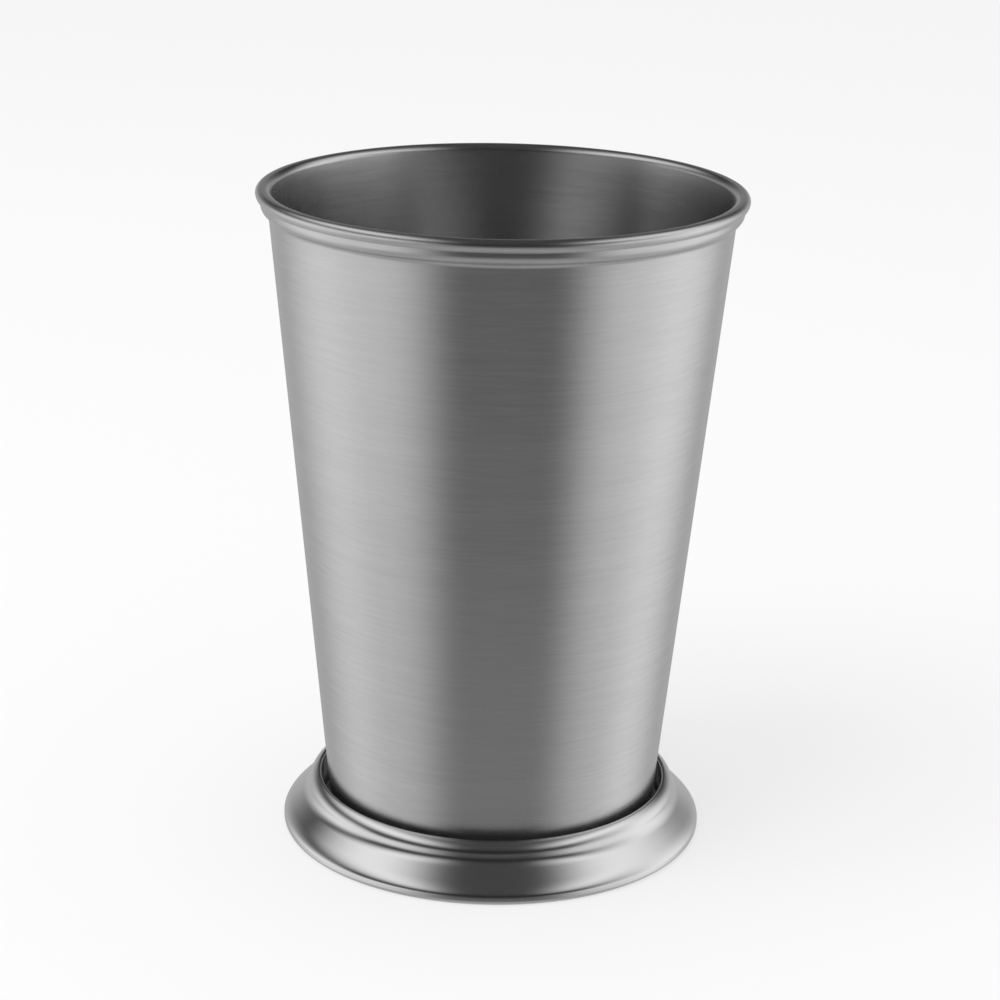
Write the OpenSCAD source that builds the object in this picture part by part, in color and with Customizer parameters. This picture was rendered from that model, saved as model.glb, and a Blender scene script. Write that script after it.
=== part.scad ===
// Julep cup: a tapered sheet steel cup with a folded lip, standing in a pressed foot ring.
// The origin is at the centre of the circle that the cup rests on, with +Z up to the mouth.

/* [Cup] */
// Height of the whole cup, from the table to the top of the lip
cup_h = 110; // [80:1:150]
// Diameter of the mouth, measured over the folded lip
mouth_d = 79.6; // [72:0.2:96]
// Lean of the side wall from the vertical, in degrees
wall_lean = 5.65; // [2:0.05:9]
// Thickness of the sheet that the body is drawn from
body_t = 0.8; // [0.5:0.05:1.1]
// Outer radius of the corner between the side wall and the floor
floor_corner_r = 3; // [1.5:0.1:5]

/* [Rim] */
// Height of the folded lip
lip_h = 1.95; // [1.7:0.05:3]
// Rounding of the lip's outer upper edge, and of its inner one
lip_round = 0.9; // [0.3:0.05:1]
lip_inner_round = 1.2; // [0.5:0.05:1.4]
// How far the lip's lower edge stands out from the band under it
lip_edge_out = 0.3; // [0.1:0.05:0.45]
// How far the lip's outer face swells beyond a straight slope
lip_swell = 0.1; // [0.05:0.01:0.15]
// Height of the straight band under the lip
band_h = 0.6; // [0.3:0.05:4]
// How far the band stands out from the top of the side wall
step_out = 1.33; // [0.8:0.01:2]
// Radius of the hollow where the side wall turns out to the band
step_hollow_r = 1; // [0.6:0.05:2]
// Radius of the bulge where the step turns up into the band
step_bulge_r = 1.5; // [1.3:0.05:2.5]

/* [Foot] */
// Height of the collar's top edge above the table
foot_h = 8.7; // [8:0.1:14]
// Thickness of the sheet that the foot ring is pressed from
foot_t = 0.5; // [0.4:0.05:0.8]
// Clear gap between the body and the top edge of the collar
collar_gap = 1.05; // [0.5:0.05:2]
// How far the foot of the collar reaches beyond its inner face
collar_spread = 2.1; // [1:0.1:2.4]
// Height of the groove between the collar and the moulding
groove_z = 5.8; // [4:0.1:7]
// How far the moulding reaches out from the groove, to the widest point of the foot
moulding_out = 4.38; // [3:0.02:8]
// Height of the moulding's shoulder, where its slope would meet its upright side
shoulder_z = 1.9; // [1.5:0.1:3]
// Radius of the rolled hem that the cup rests on
hem_r = 0.85; // [0.7:0.05:1.3]

/* [Underside] */
// Height of the flange's underside above the table
flange_z = 2.5; // [2:0.1:3]
// Width of the flange, from its inner edge to the face of the inner wall
flange_w = 5.2; // [4.5:0.1:10]
// Inner radius of the bend between the inner wall and the flange
flange_bend_r = 0.5; // [0.3:0.05:0.9]
// Thickness of the base disc
disc_t = 0.8; // [0.5:0.05:1.2]
// Clear gap round the base disc, where it lies inside the bend
disc_gap = 0.15; // [0.05:0.05:0.4]
// Rounding of the base disc's edge
disc_edge_r = 0.2; // [0.05:0.05:0.24]

/* [Welds] */
// Number of welds between the flange and the base disc
flange_welds = 8; // [4:1:16]
// Number of welds between the base disc and the floor of the body
floor_welds = 4; // [3:1:8]
// How far the floor's welds lie inside the flange's inner edge
floor_weld_in = 10; // [3:0.5:15]
// Diameter of a weld mark
weld_d = 3; // [2:0.1:3.6]
// Height of a weld mark under its sheet
weld_h = 0.25; // [0.1:0.05:0.5]

/* [Hidden] */
// Smoothness of everything round
$fn = 180;
// Number of steps in a small arc of an outline, and in a long one
arc_steps = 10;
long_steps = 18;
// How much of the rolled hem is flattened where it rests on the table
hem_flat = 0.08;
// Angle on the rolled edge where it meets the collar, in degrees
collar_roll_a = 65;
// Shares of the collar and of the moulding's slope that the soft groove between them takes up
groove_collar_share = 0.35;
groove_moulding_share = 0.25;
// Shares of the moulding's slope and of its upright side that the round shoulder takes up
shoulder_slope_share = 0.35;
shoulder_side_share = 0.6;

// Body: the rim is the sheet folded double. Its outer layer makes the lip, the band and the step,
// and its inner layer is the wall, which goes on up to the lip
mouth_r = mouth_d / 2;
band_r = mouth_r - body_t;
lip_z = cup_h - lip_h;
lip_round_z = cup_h - lip_round;
band_z = lip_z - band_h;

// The step is two arcs that meet at the steepest point, seen from the vertical as step_a
step_a = acos((step_hollow_r * cos(wall_lean) + step_bulge_r - step_out) / (step_hollow_r + step_bulge_r));
bulge_c = [band_r - step_bulge_r, band_z];
hollow_c = bulge_c + (step_bulge_r + step_hollow_r) * facing(step_a);
wall_top = hollow_c - step_hollow_r * facing(wall_lean);

// Inside the mouth the wall goes straight up to the lip's inner rounding
lip_inner_z = cup_h - lip_inner_round;
lip_inner_c = [wall_r(lip_inner_z) + (lip_inner_round - body_t) / cos(wall_lean), lip_inner_z];

// The body stands on the base disc, which lies on the flange
disc_z = flange_z + foot_t;
floor_z = disc_z + disc_t;
corner_c_z = floor_z + floor_corner_r;
corner_c = [wall_r(corner_c_z) - floor_corner_r / cos(wall_lean), corner_c_z];

// Foot ring: the collar follows the body, and the rest follows the collar
collar_in_r = wall_r(foot_h) + collar_gap;
edge_c = [collar_in_r + foot_t, foot_h - foot_t];
collar_top = edge_c + foot_t * [cos(collar_roll_a), sin(collar_roll_a)];
groove = [collar_in_r + collar_spread, groove_z];
hem_c = [groove[0] + moulding_out - hem_r, hem_r - hem_flat];
hem_side = hem_c + [hem_r, 0];
hem_curl_a = acos((hem_r - foot_t) / hem_r);
hem_curl = hem_c + hem_r * [cos(hem_curl_a), sin(hem_curl_a)];
shoulder = [groove[0] + moulding_out, shoulder_z];
hem_flat_a = asin((hem_r - hem_flat) / hem_r);
bend_c = [collar_in_r - flange_bend_r, disc_z + flange_bend_r];
flange_in_r = collar_in_r - flange_w;
disc_r = bend_c[0] - disc_gap;
flange_weld_pcr = (flange_in_r + disc_r) / 2;
floor_weld_pcr = flange_in_r - floor_weld_in;

// A weld mark is the cap of a sphere, and its rim lies at this angle under the sphere's middle
weld_dome_r = (weld_d * weld_d / 4 + weld_h * weld_h) / (2 * weld_h);
weld_rim_a = asin((weld_dome_r - weld_h) / weld_dome_r);

// Radius of the outside of the side wall at a height above the table
function wall_r(z) = wall_top[0] - (wall_top[1] - z) * tan(wall_lean);

// Outward direction of a face that leans out by an angle from the vertical
function facing(a) = [cos(a), -sin(a)];

// Points along a circular arc about a centre, between two angles
function arc(c, r, a0, a1, steps) =
    [for (i = [0:steps]) c + r * [cos(a0 + (a1 - a0) * i / steps), sin(a0 + (a1 - a0) * i / steps)]];

// Angle of the line from one point to another
function heading(p, q) = atan2(q[1] - p[1], q[0] - p[0]);

// Points along the arc from p to q that swells to the left of the line between them, or to the
// right where the swell is negative
function swelling(p, q, swell, steps) =
    let(half = norm(q - p) / 2)
    let(r = (half * half + swell * swell) / (2 * swell))
    let(left = heading(p, q) + 90)
    let(c = (p + q) / 2 + (swell - r) * [cos(left), sin(left)])
    arc(c, r, left + asin(half / r), left - asin(half / r), steps);

// Points along the soft curve from p to q that leans towards a corner
function softened(p, corner, q, steps) =
    [for (i = [0:steps]) let(s = i / steps) (1 - s) * (1 - s) * p + 2 * s * (1 - s) * corner + s * s * q];

// The point at a share of the way from p to q
function between(p, q, share) = p + share * (q - p);

// A path moved to its right-hand side by the thickness of a sheet
function moved_right(path, t) =
    let(last = len(path) - 1)
    [for (i = [0:last])
        let(way = heading(path[max(i - 1, 0)], path[min(i + 1, last)]))
        path[i] + t * [sin(way), -cos(way)]];

// Outline of the body's outer face, from the middle of the floor up to the lip's lower edge
body_outside = concat(
    [[0, floor_z]],
    arc(corner_c, floor_corner_r, -90, -wall_lean, arc_steps),
    arc(hollow_c, step_hollow_r, 180 - wall_lean, 180 - step_a, arc_steps),
    arc(bulge_c, step_bulge_r, -step_a, 0, arc_steps),
    [[band_r, lip_z]],
    swelling([band_r + lip_edge_out, lip_z], [mouth_r, lip_round_z], -lip_swell, arc_steps)
);

// Outline of the inner face, from the inside of the lip down to the middle of the floor
body_inside = concat(
    arc(lip_inner_c, lip_inner_round, 90, 180 - wall_lean, arc_steps),
    arc(corner_c, floor_corner_r - body_t, -wall_lean, -90, arc_steps),
    [[0, floor_z + body_t]]
);

// Outline of the foot's outer face from the collar's top edge down to the hem: the collar leaves
// the rounded edge along its tangent, a soft groove parts it from the moulding, and the moulding's
// slope turns down over a round shoulder to the hem
collar_swell = norm(groove - collar_top) / 2 * tan((collar_roll_a - 90 - heading(collar_top, groove)) / 2);
collar_face = swelling(collar_top, groove, collar_swell, long_steps);
collar_kept = round(long_steps * (1 - groove_collar_share));
foot_face = concat(
    [for (i = [0:collar_kept - 1]) collar_face[i]],
    softened(collar_face[collar_kept], groove, between(groove, shoulder, groove_moulding_share), arc_steps),
    softened(
        between(shoulder, groove, shoulder_slope_share), shoulder,
        between(shoulder, hem_side, shoulder_side_share), arc_steps
    )
);

// The hollow side of the same sheet, down to where the rolled hem curls against it
foot_hollow = [for (p = moved_right(foot_face, foot_t)) if (p[1] > hem_curl[1]) p];

module body_shell() {
    color("#b4b6b8")
        rotate_extrude()
            polygon(concat(
                body_outside,
                arc([mouth_r - lip_round, lip_round_z], lip_round, 0, 90, arc_steps),
                body_inside
            ));
}

module foot_ring() {
    color("#c6c8ca")
        rotate_extrude()
            polygon(concat(
                foot_face,
                arc(hem_c, hem_r, 0, -hem_flat_a, arc_steps),
                arc(hem_c, hem_r, hem_flat_a - 180, hem_curl_a - 360, arc_steps),
                [for (i = [len(foot_hollow) - 1:-1:0]) foot_hollow[i]],
                [edge_c],
                arc(bend_c, flange_bend_r + foot_t, 0, -90, arc_steps),
                [[flange_in_r, flange_z], [flange_in_r, disc_z]],
                arc(bend_c, flange_bend_r, -90, 0, arc_steps),
                arc(edge_c, foot_t, 180, collar_roll_a, arc_steps)
            ));
}

module base_disc() {
    color("#a2a4a6")
        rotate_extrude()
            polygon(concat(
                [[0, disc_z]],
                arc([disc_r - disc_edge_r, disc_z + disc_edge_r], disc_edge_r, -90, 0, arc_steps),
                arc([disc_r - disc_edge_r, floor_z - disc_edge_r], disc_edge_r, 0, 90, arc_steps),
                [[0, floor_z]]
            ));
}

// One weld mark: a low dome that hangs from the sheet at z = 0
module weld_mark() {
    rotate_extrude()
        polygon(concat(
            [[0, 0]],
            arc([0, weld_dome_r - weld_h], weld_dome_r, -90, -weld_rim_a, arc_steps)
        ));
}

module spot_welds() {
    color("#8e9092") {
        for (i = [0:flange_welds - 1])
            rotate([0, 0, (i + 0.5) * 360 / flange_welds])
                translate([flange_weld_pcr, 0, flange_z])
                    weld_mark();
        for (i = [0:floor_welds - 1])
            rotate([0, 0, i * 360 / floor_welds])
                translate([floor_weld_pcr, 0, disc_z])
                    weld_mark();
    }
}

body_shell();
foot_ring();
base_disc();
spot_welds();
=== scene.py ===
# %% [markdown]
# # A sheet steel julep cup
# The real cup is four kinds of sheet metal piece: a drawn body, a pressed foot ring, a flat disc
# that bridges the foot, and the weld marks that join them. The CAD frame holds their true sizes.
# This lesson gives each one a smooth surface and a brushed or satin steel finish, and sets up a
# studio in which steel looks like steel. First the frame is loaded, and its box is kept.

# %% Load the frame
import math

import bpy
import numpy as np
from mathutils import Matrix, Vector


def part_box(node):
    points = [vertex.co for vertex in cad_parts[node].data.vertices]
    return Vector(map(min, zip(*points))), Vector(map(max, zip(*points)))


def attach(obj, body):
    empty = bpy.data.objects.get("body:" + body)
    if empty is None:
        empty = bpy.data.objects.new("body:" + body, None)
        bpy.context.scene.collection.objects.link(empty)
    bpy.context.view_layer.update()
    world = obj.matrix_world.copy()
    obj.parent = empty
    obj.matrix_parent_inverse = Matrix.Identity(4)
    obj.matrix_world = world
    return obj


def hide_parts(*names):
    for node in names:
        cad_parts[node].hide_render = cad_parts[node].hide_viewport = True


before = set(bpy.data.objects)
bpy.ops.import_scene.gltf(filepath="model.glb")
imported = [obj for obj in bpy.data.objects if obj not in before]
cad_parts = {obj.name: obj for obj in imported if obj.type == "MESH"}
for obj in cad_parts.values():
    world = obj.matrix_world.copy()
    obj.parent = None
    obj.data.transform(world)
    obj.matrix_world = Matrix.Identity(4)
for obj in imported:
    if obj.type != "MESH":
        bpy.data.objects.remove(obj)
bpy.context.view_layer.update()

MM = 0.001
print("CAD nodes:", sorted(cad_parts))

# %% [markdown]
# Everything here is turned about one axis, so almost every size is a radius or a height. The main
# ones are read from the frame, so that the surfaces stay where the solids are.

# %% Sizes from the frame
body_low, body_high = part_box("body_shell")
foot_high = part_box("foot_ring")[1]
disc_low, disc_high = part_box("base_disc")

cup_h = body_high.z
mouth_r = body_high.x
floor_z = body_low.z
disc_z = disc_low.z
disc_r = disc_high.x
foot_h = foot_high.z
foot_r = foot_high.x
print("cup %.1f mm high, %.1f mm over the lip" % (cup_h / MM, 2 * mouth_r / MM))

# %% [markdown]
# The rest are the small sizes of the sheet: its thickness, its bends and its folds. A box doesn't
# show them, so they are written here once, with the values that the solids have. Only the lip's
# edge round is new: it takes the sharpness off the lip's lower edge. A share says how much of the
# stretch beside it a soft corner takes up.

# %% Sizes of the sheet
body_t = 0.8 * MM
wall_lean = math.radians(5.65)
floor_corner_r = 3 * MM
lip_h = 1.95 * MM
lip_round = 0.9 * MM
lip_inner_round = 1.2 * MM
lip_edge_out = 0.3 * MM
lip_edge_round = 0.1 * MM
lip_swell = 0.1 * MM
band_h = 0.6 * MM
step_out = 1.33 * MM
step_hollow_r = 1 * MM
step_bulge_r = 1.5 * MM
foot_t = 0.5 * MM
collar_gap = 1.05 * MM
collar_spread = 2.1 * MM
groove_z = 5.8 * MM
shoulder_z = 1.9 * MM
hem_r = 0.85 * MM
hem_flat = 0.08 * MM
flange_w = 5.2 * MM
flange_bend_r = 0.5 * MM
weld_r = 1.5 * MM
weld_h = 0.25 * MM
flange_welds = 8
floor_welds = 4
floor_weld_in = 10 * MM
groove_collar_share = 0.35
groove_moulding_share = 0.25
shoulder_slope_share = 0.35
shoulder_side_share = 0.6
print("sheet of %.1f mm in the body, %.1f mm in the foot" % (body_t / MM, foot_t / MM))

# %% [markdown]
# A profile is a row of (radius, height) points. Sheet metal bends in arcs, so four small helpers
# draw all of it: an arc about a centre, an arc that swells from a straight line, a soft corner,
# and a copy of a path moved sideways by the thickness of the sheet. Each one works out its points
# as one whole array.

# %% Profile helpers
def arc(centre, radius, start, stop, count=24):
    """Points at equal angles from start to stop on a circle: centre + radius (cos a, sin a)."""
    a = np.linspace(start, stop, count)
    return np.array(centre) + radius * np.stack([np.cos(a), np.sin(a)], -1)


def heading(p, q):
    """Angle of the line from p to q, measured from the outward radius towards the height."""
    return math.atan2(q[1] - p[1], q[0] - p[0])


def swelling(p, q, swell, count=48):
    """The arc from p to q whose middle stands off the straight line by swell, to the left of it.
    Its radius is (half the length squared plus the swell squared) over twice the swell."""
    p, q = np.array(p), np.array(q)
    half = np.linalg.norm(q - p) / 2
    radius = (half ** 2 + swell ** 2) / (2 * swell)
    left = heading(p, q) + math.pi / 2
    centre = (p + q) / 2 + (swell - radius) * np.array([math.cos(left), math.sin(left)])
    spread = math.asin(half / radius)
    return arc(centre, radius, left + spread, left - spread, count)


def softened(p, corner, q, count=24):
    """A soft corner: the quadratic curve (1-s)(1-s) p + 2s(1-s) corner + s s q."""
    s = np.linspace(0, 1, count)[:, None]
    return (1 - s) ** 2 * np.array(p) + 2 * s * (1 - s) * np.array(corner) + s ** 2 * np.array(q)


def straight(p, q, spacing):
    """Points on the straight line from p to q, about one spacing apart."""
    count = max(2, int(np.linalg.norm(np.subtract(q, p)) / spacing) + 1)
    s = np.linspace(0, 1, count)[:, None]
    return (1 - s) * np.array(p) + s * np.array(q)


def moved_right(path, distance):
    """Each point moved along (sin w, -cos w), where w is the path's own direction there."""
    way = np.gradient(path, axis=0)
    way = way / np.linalg.norm(way, axis=1, keepdims=True)
    return path + distance * np.stack([way[:, 1], -way[:, 0]], -1)


def joined(*paths):
    """One path through all the given ones, without points that lie on top of each other."""
    path = np.concatenate([np.atleast_2d(p) for p in paths])
    same = 1e-7
    keep = np.r_[True, np.linalg.norm(np.diff(path, axis=0), axis=1) > same]
    return path[keep]


print("a soft corner at (1, 0) passes", softened([0, 0], [1, 0], [1, 1], 3)[1])

# %% [markdown]
# Straight stretches get evenly spaced points. A long wall needs few. The foot's slope and side are
# short, so their points are closer, and so are those of the flange and the disc, whose vertices
# carry the heat tint of the welds.

# %% Spacing of the points
wall_spacing = 1.6 * MM
floor_spacing = 1.5 * MM
dish_spacing = 0.8 * MM
inner_spacing = 0.6 * MM
tint_spacing = 0.5 * MM
slope_spacing = 0.3 * MM
side_spacing = 0.2 * MM

# %% [markdown]
# A lathe turns a profile into a surface. Blender has a Spin tool and a Screw modifier for this,
# but a grid worked out with numpy gives control of the seam, of the poles on the axis, and of the
# UV map, whose V runs along the profile. The brushing follows that V, as on the real cup, where
# the abrasive is held against the turning sheet.

# %% The lathe
TURNS = 256
print("one turn has %d steps" % TURNS)


def turned(profile, loop=False, turns=TURNS):
    """Vertices and faces of a profile turned about Z: (r cos t, r sin t, z) for a grid of r, z
    and t. A point on the axis is a single vertex with a fan of triangles. loop joins the
    profile's end to its start. Returns vertices, faces, and each vertex's way along the profile."""
    r, z = profile.T
    rows = len(r)
    t = np.arange(turns) * 2 * np.pi / turns
    size = np.where(r > 0, turns, 1)
    first = np.r_[0, np.cumsum(size)[:-1]]
    index = first[:, None] + np.arange(turns)[None, :] * (r > 0)[:, None]
    grid = np.stack([np.outer(r, np.cos(t)), np.outer(r, np.sin(t)), np.tile(z[:, None], turns)], -1)
    spare = (r[:, None] == 0) & (np.arange(turns)[None, :] > 0)
    vertices = grid[~spare]
    step = np.r_[0, np.cumsum(np.linalg.norm(np.diff(profile, axis=0), axis=1))]
    along = np.tile(step[:, None], turns)[~spare]
    a = np.arange(rows if loop else rows - 1)
    b = (a + 1) % rows
    here, over = index[a], index[b]
    quads = np.stack([here, np.roll(here, -1, 1), np.roll(over, -1, 1), over], -1)
    start_fan = (r[a] == 0) & (r[b] > 0)
    end_fan = (r[b] == 0) & (r[a] > 0)
    whole = (r[a] > 0) & (r[b] > 0)
    faces = quads[whole].reshape(-1, 4).tolist()
    faces += quads[start_fan][..., [0, 2, 3]].reshape(-1, 3).tolist()
    faces += quads[end_fan][..., [0, 1, 2]].reshape(-1, 3).tolist()
    return vertices, faces, along


def surface(name, vertices, faces, along, sharp_angle=32, **marks):
    """A mesh object with smooth faces and a UV map: U is the turn, V the way along the profile
    in centimetres. Each mark is a number per vertex, kept as an attribute under its own name."""
    mesh = bpy.data.meshes.new(name)
    mesh.from_pydata(vertices.tolist(), [], faces)
    corner = np.zeros(len(mesh.loops), np.int32)
    mesh.loops.foreach_get("vertex_index", corner)
    turn = np.arctan2(vertices[:, 1], vertices[:, 0]) / (2 * np.pi) + 0.5
    uv = np.stack([turn[corner], along[corner] * 100], -1)
    mesh.uv_layers.new(name="turning").data.foreach_set("uv", uv.astype(np.float32).ravel())
    for mark, values in marks.items():
        data = mesh.attributes.new(mark, "FLOAT", "POINT").data
        data.foreach_set("value", values.astype(np.float32))
    mesh.update()
    mesh.shade_smooth()
    mesh.set_sharp_from_angle(angle=math.radians(sharp_angle))
    piece = bpy.data.objects.new(name, mesh)
    bpy.context.scene.collection.objects.link(piece)
    print("%s: %d vertices, %d faces" % (name, len(vertices), len(faces)))
    return piece


# %% [markdown]
# ## The body
# The body is one sheet, drawn deep into a tapered cup. The solid has its edge folded down outside,
# and that fold is the lip, the band and the small step under the mouth. On the real cup the step
# may be pressed through the sheet instead, because a faint ring shows inside at its height. Here
# the wall inside goes straight up to the lip, as it does on the solid. The step is two arcs, a
# hollow and a bulge, that meet at the steepest point. The profile runs from the middle of the
# floor up the outside, over the lip and down the inside.

# %% Profile of the body
def facing(a):
    """The direction (cos a, -sin a) of a face that leans out by the angle a from the vertical."""
    return np.array([math.cos(a), -math.sin(a)])


band_r = mouth_r - body_t
lip_z = cup_h - lip_h
step_a = math.acos(
    (step_hollow_r * math.cos(wall_lean) + step_bulge_r - step_out) / (step_hollow_r + step_bulge_r)
)
bulge_c = np.array([band_r - step_bulge_r, lip_z - band_h])
hollow_c = bulge_c + (step_bulge_r + step_hollow_r) * facing(step_a)
wall_top = hollow_c - step_hollow_r * facing(wall_lean)


def wall_r(z):
    """Radius of the side wall's outside at a height: it narrows evenly from the wall's top."""
    return wall_top[0] - (wall_top[1] - z) * math.tan(wall_lean)


corner_c = np.array([0, floor_z + floor_corner_r])
corner_c[0] = wall_r(corner_c[1]) - floor_corner_r / math.cos(wall_lean)
inner_floor = floor_z + body_t
dish = 0.25 * MM
dish_r = 19 * MM


def body_profile():
    """The outside from the floor's middle to the lip, the lip, and the inside back to the middle."""
    edge = np.array([band_r + lip_edge_out, lip_z])
    outside = joined(
        straight([0, floor_z], [corner_c[0], floor_z], floor_spacing),
        arc(corner_c, floor_corner_r, -math.pi / 2, -wall_lean),
        straight(corner_c + floor_corner_r * facing(wall_lean), wall_top, wall_spacing),
        arc(hollow_c, step_hollow_r, math.pi - wall_lean, math.pi - step_a, 16),
        arc(bulge_c, step_bulge_r, -step_a, 0, 16),
        [band_r, lip_z],
        arc(edge + [-lip_edge_round, lip_edge_round], lip_edge_round, -math.pi / 2, 0, 6),
        swelling(edge + [0, lip_edge_round], [mouth_r, cup_h - lip_round], -lip_swell, 12),
    )
    lip_inner_c = np.array([0, cup_h - lip_inner_round])
    lip_inner_c[0] = wall_r(lip_inner_c[1]) + (lip_inner_round - body_t) / math.cos(wall_lean)
    over = joined(
        arc([mouth_r - lip_round, cup_h - lip_round], lip_round, 0, math.pi / 2, 12),
        arc(lip_inner_c, lip_inner_round, math.pi / 2, math.pi - wall_lean, 16),
    )
    inner_corner = arc(corner_c, floor_corner_r - body_t, -wall_lean, -math.pi / 2)
    flat = straight([corner_c[0], inner_floor], [dish_r, inner_floor], dish_spacing)
    s = np.linspace(1, 0, 24)
    dished = np.stack([dish_r * s, inner_floor + dish * np.cos(s * math.pi / 2) ** 2], -1)
    inside = joined(straight(over[-1], inner_corner[0], wall_spacing), inner_corner, flat, dished)
    path = joined(outside, over, inside)
    path[[0, -1], 0] = 0
    return path


body_path = body_profile()
lip_top = int(np.argmax(body_path[:, 1]))
lip_way = np.linalg.norm(np.diff(body_path[:lip_top + 1], axis=0), axis=1).sum()
body_points, body_faces, body_along = turned(body_path)
is_inside = body_along > lip_way
print("way along the body's profile to the top of the lip: %.1f mm" % (lip_way / MM))
drawn_body = surface("drawn_body", body_points, body_faces, body_along, inside=is_inside)

# %% [markdown]
# ## The foot ring
# The foot is one thin sheet as well. From the rounded top edge of the collar it runs down and out
# to a soft groove, over the moulding's shoulder, and into a rolled hem, flattened where it stands. On
# the hidden side it goes down an inner wall and turns inwards under the body as a flange. The
# surface follows the same bends as the solid, with many more points on each.

# %% Profile of the foot ring
flange_z = disc_z - foot_t
collar_in_r = wall_r(foot_h) + collar_gap
collar_roll = math.radians(65)
hem_curl = math.acos((hem_r - foot_t) / hem_r)
edge_c = np.array([collar_in_r + foot_t, foot_h - foot_t])
bend_c = np.array([collar_in_r - flange_bend_r, disc_z + flange_bend_r])
hem_c = np.array([foot_r - hem_r, hem_r - hem_flat])
groove = np.array([collar_in_r + collar_spread, groove_z])
shoulder = np.array([foot_r, shoulder_z])
flange_in_r = collar_in_r - flange_w


def foot_face():
    """The outer face from the collar's edge down to the hem: a swelling arc, a soft groove, a slope
    and a round shoulder above the upright side."""
    top = edge_c + foot_t * np.array([math.cos(collar_roll), math.sin(collar_roll)])
    side = hem_c + [hem_r, 0]
    turn = collar_roll - math.pi / 2 - heading(top, groove)
    swell = np.linalg.norm(groove - top) / 2 * math.tan(turn / 2)
    collar = swelling(top, groove, swell)
    kept = int(len(collar) * (1 - groove_collar_share))
    slope_start = groove + groove_moulding_share * (shoulder - groove)
    slope_end = shoulder - shoulder_slope_share * (shoulder - groove)
    side_start = shoulder + shoulder_side_share * (side - shoulder)
    return joined(
        collar[:kept],
        softened(collar[kept], groove, slope_start, 32),
        straight(slope_start, slope_end, slope_spacing),
        softened(slope_end, shoulder, side_start, 40),
        straight(side_start, side, side_spacing),
    )


def foot_profile():
    """The outer face, the hem, the hollow side up to the collar, and the inner wall and flange."""
    face = foot_face()
    flat_a = math.asin((hem_r - hem_flat) / hem_r)
    hollow = moved_right(face, foot_t)
    hollow = hollow[hollow[:, 1] > hem_c[1] + hem_r * math.sin(hem_curl)][::-1]
    return joined(
        face,
        arc(hem_c, hem_r, 0, -flat_a, 20),
        arc(hem_c, hem_r, flat_a - math.pi, hem_curl - 2 * math.pi, 32),
        hollow,
        [edge_c],
        straight(edge_c, bend_c + [flange_bend_r + foot_t, 0], inner_spacing),
        arc(bend_c, flange_bend_r + foot_t, 0, -math.pi / 2, 12),
        straight([bend_c[0], flange_z], [flange_in_r, flange_z], tint_spacing),
        straight([flange_in_r, disc_z], [bend_c[0], disc_z], tint_spacing),
        arc(bend_c, flange_bend_r, -math.pi / 2, 0, 12),
        straight(bend_c + [flange_bend_r, 0], edge_c - [foot_t, 0], inner_spacing),
        arc(edge_c, foot_t, math.pi, collar_roll, 24),
    )


print("groove %.1f mm and shoulder %.1f mm from the axis" % (groove[0] / MM, shoulder[0] / MM))

# %% [markdown]
# A spot weld leaves a straw and blue ring of heat tint round it. The ring can't be a texture image,
# so each vertex of the foot and the disc gets a number, the heat, that falls off with its distance
# from the nearest weld. The material turns that number into colour.

# %% Places of the welds
flange_weld_r = (flange_in_r + disc_r) / 2
flange_turn = (np.arange(flange_welds) + 0.5) * 2 * np.pi / flange_welds
floor_turn = np.arange(floor_welds) * 2 * np.pi / floor_welds
floor_weld_r = flange_in_r - floor_weld_in


def ring_of(radius, turn, z):
    """Places (radius cos t, radius sin t, z) round a circle."""
    return np.stack([radius * np.cos(turn), radius * np.sin(turn), np.full(len(turn), z)], -1)


weld_places = np.concatenate([
    ring_of(flange_weld_r, flange_turn, flange_z),
    ring_of(floor_weld_r, floor_turn, disc_z),
])


def heat_near_welds(vertices, reach=2.6 * MM):
    """exp(-(d / reach) squared), where d is the distance from a vertex to the nearest weld."""
    gap = np.linalg.norm(vertices[:, None, :] - weld_places[None, :, :], axis=2).min(1)
    return np.exp(-(gap / reach) ** 2)


foot_loop = joined(foot_profile())[:-1]
foot_points, foot_faces, foot_along = turned(foot_loop, loop=True)
foot_heat = heat_near_welds(foot_points)
print("hottest vertex of the foot: %.2f" % foot_heat.max())
pressed_foot = surface("pressed_foot", foot_points, foot_faces, foot_along, heat=foot_heat)

# %% [markdown]
# ## The base disc and the welds
# The disc is a blanked sheet: flat, with an edge that the shear rounded on one side. The welds are
# nuggets a quarter of a millimetre high, each with the dimple that the electrode left. One nugget
# is turned as a profile, and broadcasting adds its vertices to every weld's place at once.

# %% Disc and weld nuggets
disc_edge_r = 0.2 * MM
dimple_depth_share = 0.45
dimple_width_share = 0.4


def disc_profile():
    """Underside, rounded edge and top of the disc, from the axis out and back to the axis."""
    low, high = disc_z, floor_z
    edge = disc_r - disc_edge_r
    path = joined(
        straight([0, low], [edge, low], tint_spacing),
        arc([edge, low + disc_edge_r], disc_edge_r, -math.pi / 2, 0, 8),
        arc([edge, high - disc_edge_r], disc_edge_r, 0, math.pi / 2, 8),
        straight([edge, high], [0, high], floor_spacing),
    )
    path[[0, -1], 0] = 0
    return path


disc_points, disc_faces, disc_along = turned(disc_profile())
disc_heat = heat_near_welds(disc_points)
bridging_disc = surface("bridging_disc", disc_points, disc_faces, disc_along, heat=disc_heat)


def nugget_profile():
    """Height -h (1 - s s)(1 - d exp(-(s / w) squared)) for s from 0 in the middle to 1 at the rim.
    d and w are the dimple's depth and width as shares of the nugget's."""
    s = np.linspace(0, 1, 20)
    dimple = dimple_depth_share * np.exp(-(s / dimple_width_share) ** 2)
    drop = weld_h * (1 - s ** 2) * (1 - dimple)
    path = joined(np.stack([weld_r * s, -drop], -1), [[0, 0]])
    path[[0, -1], 0] = 0
    return path


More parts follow.
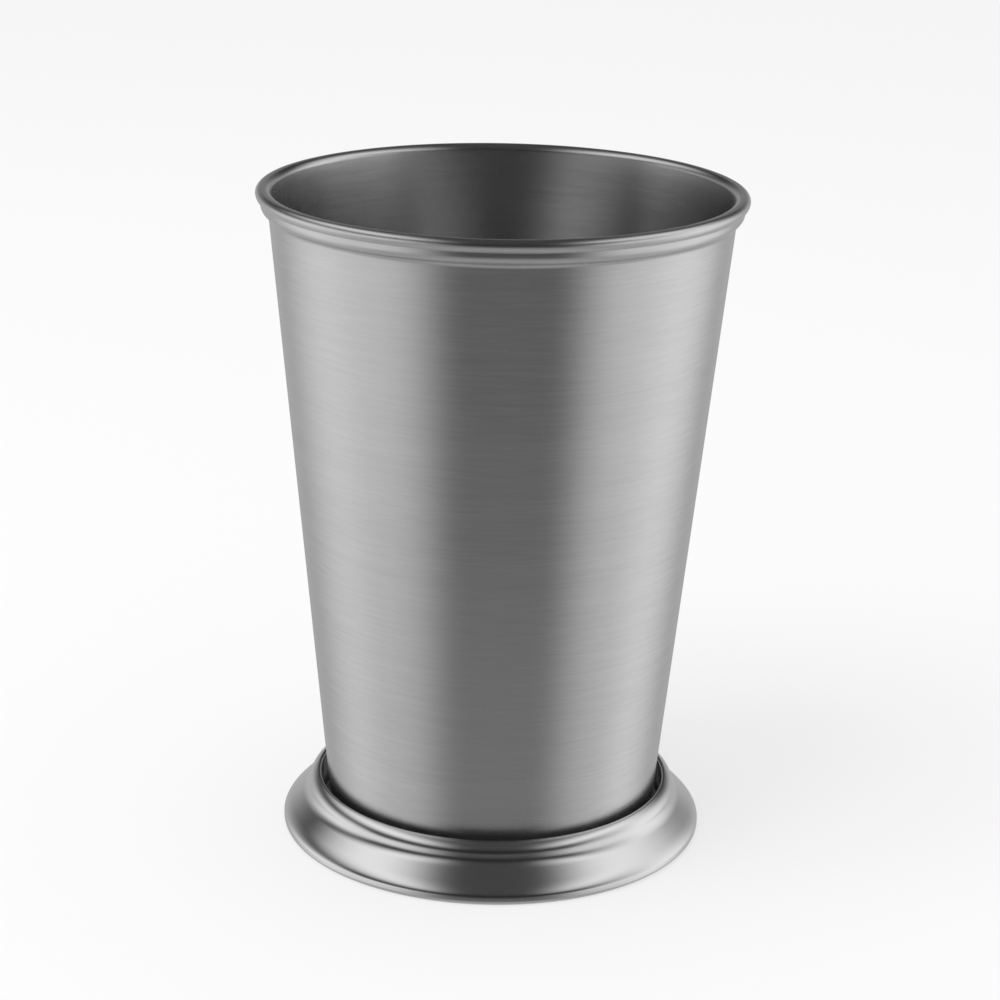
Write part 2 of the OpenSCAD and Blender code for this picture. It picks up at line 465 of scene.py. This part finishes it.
def repeated(points, faces, along, places):
    """The same mesh at every place: points + place, and face indices shifted copy by copy. The
    triangles and then the quads are shifted as one array each."""
    moved = (points[None, :, :] + places[:, None, :]).reshape(-1, 3)
    shift = len(points) * np.arange(len(places))[:, None, None]
    copies = []
    for corners in (3, 4):
        alike = np.array([face for face in faces if len(face) == corners])
        copies += (alike[None, :, :] + shift).reshape(-1, corners).tolist()
    return moved, copies, np.tile(along, len(places))


weld_nuggets = surface("weld_nuggets", *repeated(*turned(nugget_profile(), turns=40), weld_places))

# %% [markdown]
# Each new surface rides on the cup's one body and stands for its CAD solid, which is hidden.

# %% Hand the pieces to the frame
for piece, node, slot in [
    (drawn_body, "body_shell", "body_steel"),
    (pressed_foot, "foot_ring", "foot_steel"),
    (bridging_disc, "base_disc", "disc_steel"),
    (weld_nuggets, "spot_welds", "weld_steel"),
]:
    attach(piece, "root")
    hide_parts(node)
    print("%s stands for %s" % (piece.name, node))

# %% [markdown]
# ## The finish
# Brushed steel is two things at once. The scratches all run round the cup, so a reflection smears
# up and down but hardly sideways: that is anisotropy, set on the shader. The scratches also vary,
# and that is texture. It is worked out once in a node group: brush marks from noise that is
# stretched along the turn and fine along the profile, broader rings made the same way, and a soft
# cloudiness from handling and polishing.

# %% Node helpers
def add_node(tree, kind, **settings):
    """A new node with its settings, and numbers for its inputs given as {index or name: value}."""
    node = tree.nodes.new(kind)
    for key, value in settings.pop("inputs", {}).items():
        node.inputs[key].default_value = value
    for key, value in settings.items():
        setattr(node, key, value)
    return node


def math_node(tree, operation, a, b, clamp=False):
    """The result of a Math node, where a and b are numbers or sockets."""
    node = add_node(tree, "ShaderNodeMath", operation=operation, use_clamp=clamp)
    for i, value in enumerate([a, b]):
        if isinstance(value, (int, float)):
            node.inputs[i].default_value = value
        else:
            tree.links.new(value, node.inputs[i])
    return node.outputs[0]


def noise(tree, vector, scale, detail=2.0, rough=0.5):
    """The value of a noise texture at a vector."""
    given = {"Scale": scale, "Detail": detail, "Roughness": rough}
    node = add_node(tree, "ShaderNodeTexNoise", inputs=given)
    tree.links.new(vector, node.inputs["Vector"])
    return node.outputs["Fac"]


# %% [markdown]
# The grain is one node group, built once and placed in each steel with its own values. Lines is
# about how many marks lie side by side in a centimetre of the profile, and Along about how many
# follow each other in a metre round the cup. Nodes repeated in each material would look the same,
# but every later change would have to be made four times.

# %% Turned grain, one group for every steel
GRAIN_INPUTS = (
    "Lines", "Along", "Tone Spread", "Rings", "Roughness", "Roughness Spread", "Cloudiness", "Depth",
)
GRAIN_OUTPUTS = ("Tone", "Roughness", "Height")


def along_the_turn(tree, place, v, along, lines, detail, rough):
    """Noise about zero at (x along, y along, v lines): long round the cup, fine along the profile."""
    x, y, _ = place
    stretched = add_node(tree, "ShaderNodeCombineXYZ")
    for i, (a, b) in enumerate([(x, along), (y, along), (v, lines)]):
        tree.links.new(math_node(tree, "MULTIPLY", a, b), stretched.inputs[i])
    return math_node(tree, "SUBTRACT", noise(tree, stretched.outputs[0], 1.0, detail, rough), 0.5)


def turned_grain_group(cloud_scale=45.0, ring_width=6.0, ring_length=8.0):
    """Tone = 1 + marks Tone Spread + rings Rings + clouds Cloudiness, and Roughness in the same way
    about its input. Height is in metres, for a Bump node."""
    tree = bpy.data.node_groups.new("turned_grain", "ShaderNodeTree")
    for name in GRAIN_INPUTS:
        tree.interface.new_socket(name=name, in_out="INPUT", socket_type="NodeSocketFloat")
    for name in GRAIN_OUTPUTS:
        tree.interface.new_socket(name=name, in_out="OUTPUT", socket_type="NodeSocketFloat")
    given = add_node(tree, "NodeGroupInput").outputs
    result = add_node(tree, "NodeGroupOutput")
    spot = add_node(tree, "ShaderNodeTexCoord").outputs["Object"]
    place = add_node(tree, "ShaderNodeSeparateXYZ")
    tree.links.new(spot, place.inputs[0])
    way = add_node(tree, "ShaderNodeSeparateXYZ")
    tree.links.new(add_node(tree, "ShaderNodeUVMap", uv_map="turning").outputs[0], way.inputs[0])
    v = way.outputs[1]
    marks = along_the_turn(tree, place.outputs, v, given["Along"], given["Lines"], detail=5.0, rough=0.6)
    slow_along = math_node(tree, "DIVIDE", given["Along"], ring_length)
    slow_lines = math_node(tree, "DIVIDE", given["Lines"], ring_width)
    rings = along_the_turn(tree, place.outputs, v, slow_along, slow_lines, detail=3.0, rough=0.6)
    cloud = math_node(tree, "SUBTRACT", noise(tree, spot, cloud_scale, detail=3.0), 0.5)
    clouds = math_node(tree, "MULTIPLY", cloud, given["Cloudiness"])
    tone = math_node(tree, "MULTIPLY", marks, given["Tone Spread"])
    tone = math_node(tree, "ADD", tone, math_node(tree, "MULTIPLY", rings, given["Rings"]))
    tone = math_node(tree, "ADD", math_node(tree, "ADD", tone, clouds), 1.0)
    rough = math_node(tree, "MULTIPLY", marks, given["Roughness Spread"])
    rough = math_node(tree, "ADD", math_node(tree, "ADD", rough, clouds), given["Roughness"])
    height = math_node(tree, "MULTIPLY", marks, given["Depth"])
    for name, value in zip(GRAIN_OUTPUTS, (tone, rough, height)):
        tree.links.new(value, result.inputs[name])
    return tree


turned_grain = turned_grain_group()
print("group sockets:", [s.name for s in turned_grain.interface.items_tree])

# %% [markdown]
# Every steel material is built the same way. The group's Tone multiplies the metal's own colour,
# its Roughness and Height go to the shader, and what is the same all over, such as the anisotropy
# and its quarter turn, is set on the shader's own sockets. The quarter turn makes the smear run
# across the scratches, which is how brushed metal behaves.

# %% Steel materials
def steel(name, colour, anisotropy, lines, along, tone, rings, rough, rough_spread, clouds, depth):
    """Metal whose colour is the given one times the grain's Tone."""
    material = bpy.data.materials.new(name)
    material.use_nodes = True
    tree = material.node_tree
    shader = tree.nodes["Principled BSDF"]
    shader.inputs["Metallic"].default_value = 1.0
    shader.inputs["Anisotropic"].default_value = anisotropy
    shader.inputs["Anisotropic Rotation"].default_value = 0.25
    tangent = add_node(tree, "ShaderNodeTangent", direction_type="RADIAL", axis="Z")
    tree.links.new(tangent.outputs[0], shader.inputs["Tangent"])
    grain = add_node(tree, "ShaderNodeGroup", node_tree=turned_grain, name="grain")
    for key, value in zip(GRAIN_INPUTS, (lines, along, tone, rings, rough, rough_spread, clouds, depth)):
        grain.inputs[key].default_value = value
    tinted = add_node(tree, "ShaderNodeVectorMath", operation="SCALE", inputs={0: colour})
    tree.links.new(grain.outputs["Tone"], tinted.inputs["Scale"])
    tree.links.new(tinted.outputs[0], shader.inputs["Base Color"])
    tree.links.new(grain.outputs["Roughness"], shader.inputs["Roughness"])
    bump = add_node(tree, "ShaderNodeBump", inputs={"Strength": 1.0, "Distance": 1.0})
    tree.links.new(grain.outputs["Height"], bump.inputs["Height"])
    tree.links.new(bump.outputs[0], shader.inputs["Normal"])
    return material


BODY_COLOUR = (0.66, 0.66, 0.665)
FOOT_COLOUR = (0.78, 0.78, 0.785)
DISC_COLOUR = (0.58, 0.58, 0.585)
WELD_COLOUR = (0.42, 0.40, 0.38)

body_steel = steel("brushed_body", BODY_COLOUR, anisotropy=0.85, lines=24, along=130, tone=0.20,
                   rings=0.10, rough=0.25, rough_spread=0.10, clouds=0.06, depth=3e-6)
foot_steel = steel("satin_foot", FOOT_COLOUR, anisotropy=0.3, lines=30, along=90, tone=0.06,
                   rings=0.04, rough=0.20, rough_spread=0.05, clouds=0.05, depth=8e-7)
disc_steel = steel("mill_disc", DISC_COLOUR, anisotropy=0.5, lines=25, along=90, tone=0.20,
                   rings=0.15, rough=0.38, rough_spread=0.12, clouds=0.10, depth=3e-6)
weld_steel = steel("burnt_weld", WELD_COLOUR, anisotropy=0.1, lines=60, along=700, tone=0.30,
                   rings=0.10, rough=0.42, rough_spread=0.20, clouds=0.20, depth=1e-5)
print("steels:", [m.name for m in (body_steel, foot_steel, disc_steel, weld_steel)])

# %% [markdown]
# The inside of a cup is hard to reach with the abrasive, so its marks are stronger in tone, but
# shallower and more even. The mark called inside is 1 there and 0 outside. It adds an extra to some
# of the grain's inputs, so the whole body stays one material.

# %% Stronger marks inside the body
def change_inside(material, extras):
    """For each named input of the grain: its own value + the mark inside times the extra."""
    tree = material.node_tree
    grain = tree.nodes["grain"]
    inside = add_node(tree, "ShaderNodeAttribute", attribute_name="inside").outputs["Fac"]
    for name, extra in extras.items():
        plain = grain.inputs[name].default_value
        value = math_node(tree, "ADD", math_node(tree, "MULTIPLY", inside, extra), plain)
        tree.links.new(value, grain.inputs[name])
        print("%s: %.3g outside, %.3g inside" % (name, plain, plain + extra))


change_inside(body_steel, {
    "Tone Spread": 0.10,
    "Rings": 0.15,
    "Roughness Spread": -0.08,
    "Depth": -2.5e-6,
})

# %% [markdown]
# The heat tint is mixed over the steel's colour where the heat attribute is high: straw at the
# outside of the ring, then blue, then the bare grey of the nugget.

# %% Heat tint on the foot and the disc
STRAW = (0.62, 0.47, 0.28, 1)
BLUE = (0.25, 0.30, 0.42, 1)


def add_heat_tint(material, strength=0.55, straw_heat=0.2, blue_heat=0.75):
    """Mixes a ramp from straw to blue over the colour, by the heat at each vertex."""
    tree = material.node_tree
    shader = tree.nodes["Principled BSDF"]
    plain = shader.inputs["Base Color"].links[0].from_socket
    heat = add_node(tree, "ShaderNodeAttribute", attribute_name="heat")
    ramp = add_node(tree, "ShaderNodeValToRGB")
    cool, hot = ramp.color_ramp.elements
    cool.position = straw_heat
    cool.color = STRAW
    hot.position = blue_heat
    hot.color = BLUE
    tree.links.new(heat.outputs["Fac"], ramp.inputs[0])
    mix = add_node(tree, "ShaderNodeMix", data_type="RGBA")
    amount = math_node(tree, "MULTIPLY", heat.outputs["Fac"], strength, clamp=True)
    tree.links.new(amount, mix.inputs["Factor"])
    tree.links.new(plain, mix.inputs["A"])
    tree.links.new(ramp.outputs[0], mix.inputs["B"])
    tree.links.new(mix.outputs["Result"], shader.inputs["Base Color"])


add_heat_tint(foot_steel)
add_heat_tint(disc_steel)

for piece, material in [
    (drawn_body, body_steel),
    (pressed_foot, foot_steel),
    (bridging_disc, disc_steel),
    (weld_nuggets, weld_steel),
]:
    piece.data.materials.append(material)

# %% [markdown]
# ## The studio
# Steel has hardly a look of its own: it shows the room. The room here is plain. A big soft panel
# stands on each side, and between them, in front of the cup and over it, the room is dark. That
# is what draws the dark band down the middle of the cup. The wall leans, so it looks down at the
# table, which is grey close to the cup: that is why the band fades towards the foot. The foot
# looks up. The inside sees the room in front of the cup and behind it, often after more than one
# reflection. Behind the cup the room is paler low down than high up.
#
# The panels are part of the world, a smooth function of the direction. Each row of the room has
# the tone of its middle and of its sides, and for both sides the x between which one turns into
# the other. Each edge is the pair of z between which one row turns into the next. Only BACK_EDGE_Y
# is a pair of y, between which the front of the room turns into its back. ROOM_LIGHT is the even
# level that every surface sees that isn't shiny.

# %% The room as the metal sees it
ROOM_LIGHT = 0.85
TABLE = 0.38
FRONT = dict(middle=0.07, sides=0.82, left=(0.15, 1.00), right=(0.28, 1.05))
HIGH = dict(middle=0.01, sides=0.60, left=(0.90, 1.05), right=(0.62, 1.05))
OVERHEAD = dict(middle=0.05, sides=1.00, left=(0.12, 0.75), right=(0.20, 0.80))
BACK_LOW = dict(middle=0.47, sides=1.00, left=(0.45, 1.20), right=(0.45, 1.10))
BACK_HIGH = dict(middle=0.02, sides=0.95, left=(0.80, 1.25), right=(0.40, 1.05))
TABLE_EDGE = (-0.75, -0.35)
FRONT_HIGH_EDGE = (-0.10, 0.30)
BACK_HIGH_EDGE = (-0.10, 0.45)
OVERHEAD_EDGE = (0.35, 0.75)
BACK_EDGE_Y = (-0.30, 0.30)


def ramp_between(tree, value, low, high, to_low=0.0, to_high=1.0):
    """A smooth step of a value from low to high, mapped to the range to_low to to_high."""
    node = add_node(tree, "ShaderNodeMapRange", interpolation_type="SMOOTHSTEP")
    for i, number in enumerate([low, high, to_low, to_high]):
        if isinstance(number, (int, float)):
            node.inputs[1 + i].default_value = number
        else:
            tree.links.new(number, node.inputs[1 + i])
    tree.links.new(value, node.inputs[0])
    return node.outputs[0]


def room_row(tree, x, middle, sides, left, right):
    """middle + (sides - middle) max(step(-x, left), step(x, right)), with smooth steps."""
    on_left = ramp_between(tree, math_node(tree, "MULTIPLY", x, -1.0), *left)
    on_right = ramp_between(tree, x, *right)
    return ramp_between(tree, math_node(tree, "MAXIMUM", on_left, on_right), 0.0, 1.0, middle, sides)


def studio_world():
    """Camera rays see white. Rays off metal see the rows, one above the other, front and back."""
    world = bpy.data.worlds.new("studio")
    bpy.context.scene.world = world
    world.use_nodes = True
    tree = world.node_tree
    background = tree.nodes["Background"]
    where = add_node(tree, "ShaderNodeTexCoord")
    split = add_node(tree, "ShaderNodeSeparateXYZ")
    tree.links.new(where.outputs["Generated"], split.inputs[0])
    x, y, z = split.outputs
    front = ramp_between(tree, z, *TABLE_EDGE, TABLE, room_row(tree, x, **FRONT))
    front = ramp_between(tree, z, *FRONT_HIGH_EDGE, front, room_row(tree, x, **HIGH))
    back = room_row(tree, x, **BACK_LOW)
    back = ramp_between(tree, z, *BACK_HIGH_EDGE, back, room_row(tree, x, **BACK_HIGH))
    around = ramp_between(tree, y, *BACK_EDGE_Y, front, back)
    seen = ramp_between(tree, z, *OVERHEAD_EDGE, around, room_row(tree, x, **OVERHEAD))
    light = add_node(tree, "ShaderNodeLightPath")
    shiny = math_node(tree, "MAXIMUM", light.outputs["Is Glossy Ray"], light.outputs["Is Transmission Ray"])
    level = ramp_between(tree, shiny, 0.0, 1.0, ROOM_LIGHT, seen)
    level = ramp_between(tree, light.outputs["Is Camera Ray"], 0.0, 1.0, level, 1.0)
    tree.links.new(level, background.inputs["Color"])
    return world


print("nodes in the studio:", len(studio_world().node_tree.nodes))

# %% [markdown]
# The floor is a pale sheet that takes the cup's shadow. Part of its brightness is its own, so that
# it reads as white paper, and the soft lamp above gives the shadow a direction. The sheet is clear
# from below, so that the cup's underside can be looked at.

# %% Floor and lamp
def pale_floor(half=4.0, paper_tone=0.9, glow=0.55):
    """A flat square at height zero, whose shader is part paper and part glow."""
    corners = np.array([[-half, -half, 0], [half, -half, 0], [half, half, 0], [-half, half, 0]])
    mesh = bpy.data.meshes.new("floor")
    mesh.from_pydata(corners.tolist(), [], [[0, 1, 2, 3]])
    floor = bpy.data.objects.new("floor", mesh)
    bpy.context.scene.collection.objects.link(floor)
    material = bpy.data.materials.new("floor_paper")
    material.use_nodes = True
    tree = material.node_tree
    tree.nodes.clear()
    paper = add_node(tree, "ShaderNodeBsdfDiffuse", inputs={"Color": (paper_tone,) * 3 + (1,)})
    white = add_node(tree, "ShaderNodeEmission", inputs={"Color": (1, 1, 1, 1), "Strength": 1.0})
    mixed = add_node(tree, "ShaderNodeMixShader", inputs={0: glow})
    clear = add_node(tree, "ShaderNodeBsdfTransparent")
    side = add_node(tree, "ShaderNodeNewGeometry")
    one_sided = add_node(tree, "ShaderNodeMixShader")
    result = add_node(tree, "ShaderNodeOutputMaterial")
    tree.links.new(paper.outputs[0], mixed.inputs[1])
    tree.links.new(white.outputs[0], mixed.inputs[2])
    tree.links.new(side.outputs["Backfacing"], one_sided.inputs[0])
    tree.links.new(mixed.outputs[0], one_sided.inputs[1])
    tree.links.new(clear.outputs[0], one_sided.inputs[2])
    tree.links.new(one_sided.outputs[0], result.inputs[0])
    mesh.materials.append(material)
    floor.visible_glossy = False
    return floor


def soft_lamp(place, size, power):
    """A square area light that looks at the middle of the cup."""
    data = bpy.data.lights.new("soft_lamp", "AREA")
    data.size = size
    data.energy = power
    lamp = bpy.data.objects.new("soft_lamp", data)
    bpy.context.scene.collection.objects.link(lamp)
    lamp.location = place
    aim = np.array([0, 0, cup_h / 2]) - np.array(place)
    lamp.rotation_euler = Vector(aim).to_track_quat("-Z", "Y").to_euler()
    lamp.visible_glossy = False
    lamp.visible_camera = False
    return lamp


pale_floor()
lamp = soft_lamp(place=(-0.5, -0.35, 0.9), size=0.7, power=4.0)
print("soft lamp: %.1f W" % lamp.data.energy)

# %% [markdown]
# ## The camera
# The camera stands where a fit to the cup's outline in the photograph puts it: 430 mm in front of
# the cup and 197 mm above the table, looking down by 18 degrees, with the slight roll that makes
# the cup lean. Its matrix is built from three directions: right, up and back.

# %% Camera
def photo_camera(distance=0.43026, height=0.19671, pitch=17.971, pan=0.068, roll=1.174,
                 focal=97.573, sensor=36, nearest=0.01):
    """The directions forward, right and up from pitch and pan, then right and up turned by roll."""
    p, a, c = (math.radians(v) for v in (pitch, pan, roll))
    forward = np.array([math.sin(a) * math.cos(p), math.cos(a) * math.cos(p), -math.sin(p)])
    right = np.array([math.cos(a), -math.sin(a), 0.0])
    up = np.cross(right, forward)
    right, up = math.cos(c) * right + math.sin(c) * up, -math.sin(c) * right + math.cos(c) * up
    matrix = np.eye(4)
    matrix[:3, :3] = np.stack([right, up, -forward], -1)
    matrix[:3, 3] = (0, -distance, height)
    data = bpy.data.cameras.new("photo_camera")
    data.sensor_width = sensor
    data.lens = focal
    data.clip_start = nearest
    camera = bpy.data.objects.new("photo_camera", data)
    bpy.context.scene.collection.objects.link(camera)
    camera.matrix_world = matrix.T.tolist()
    bpy.context.scene.camera = camera
    return camera


camera = photo_camera()
print("camera at", [round(v, 3) for v in camera.matrix_world.translation])
bpy.context.scene.view_settings.view_transform = "Standard"
